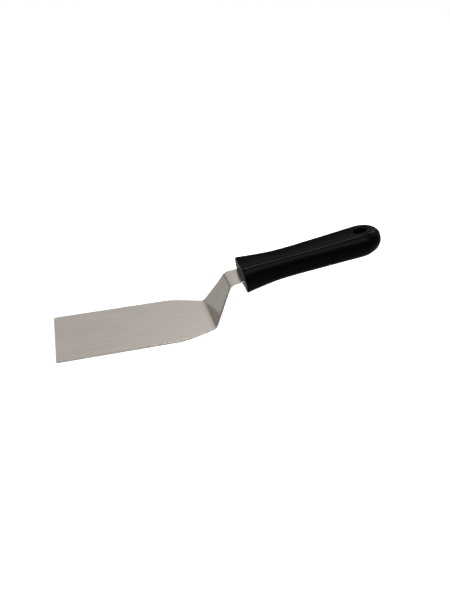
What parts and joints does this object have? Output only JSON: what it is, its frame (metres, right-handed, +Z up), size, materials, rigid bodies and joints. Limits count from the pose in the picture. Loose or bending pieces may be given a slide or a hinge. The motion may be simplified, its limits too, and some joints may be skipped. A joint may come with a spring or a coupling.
{
  "type": "offset spatula",
  "caption": "Offset spatula: wide flat steel blade with square front corners, steep crank up to a black plastic handle with a hang hole.",
  "frame": {"origin": "middle of the blade's flat underside, on the surface that the blade lies on", "axes": "+Z up, +X along the blade towards the handle, +Y across the blade; the part is mirror symmetric about Y = 0"},
  "size_m": [0.2817, 0.06, 0.0646],
  "materials": {
    "steel": "satin stainless steel, brushed along the blade",
    "black_plastic": "moulded black polypropylene with a low satin sheen"
  },
  "bodies": {
    "root": {"blade": "steel", "handle": "black_plastic"}
  },
  "joints": []
}
